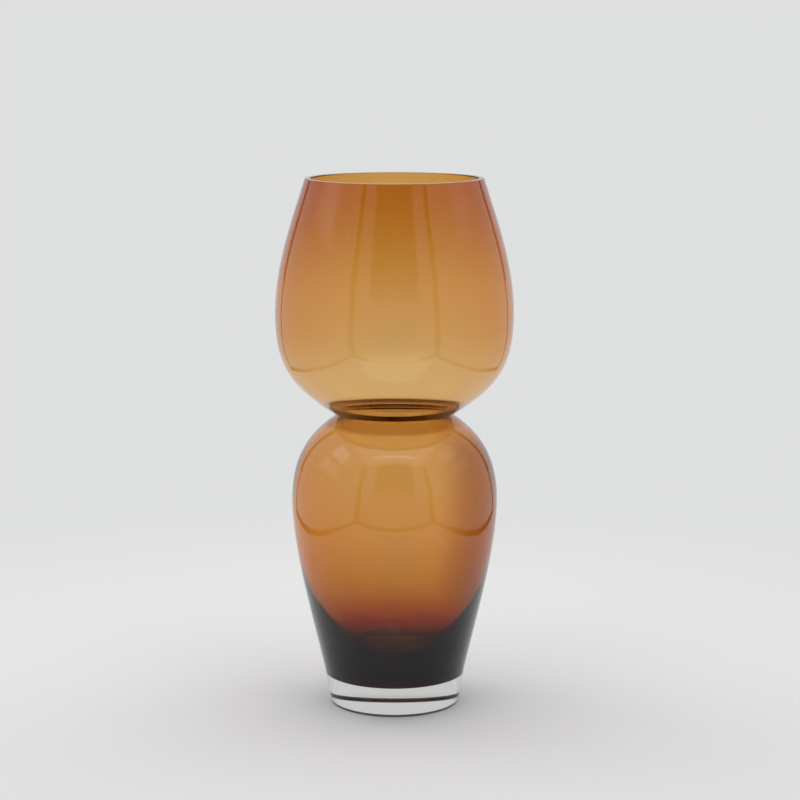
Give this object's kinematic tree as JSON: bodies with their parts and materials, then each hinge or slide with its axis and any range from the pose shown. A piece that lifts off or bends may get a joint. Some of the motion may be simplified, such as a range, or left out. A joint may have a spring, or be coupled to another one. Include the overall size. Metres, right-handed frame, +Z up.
{
  "type": "gourd vase",
  "caption": "Gourd-shaped vase of amber glass cased in clear glass, with a cut open mouth, a pinched waist, a dark heavy bottom and a thick clear foot; holds cut stems in water.",
  "frame": {"origin": "centre of the flat underside of the foot, on the axis of turning", "axes": "+Z up along the axis of turning, from the foot to the mouth; the camera of the picture stands on the -Y side"},
  "size_m": [0.17, 0.17, 0.38],
  "materials": {
    "amber_glass": "polished, transparent amber",
    "clear_glass": "polished, transparent and colourless"
  },
  "bodies": {
    "root": {"amber_upper_bulb": "amber_glass", "amber_lower_bulb": "amber_glass", "clear_upper_casing": "clear_glass", "clear_lower_casing": "clear_glass", "clear_foot": "clear_glass"}
  },
  "joints": []
}
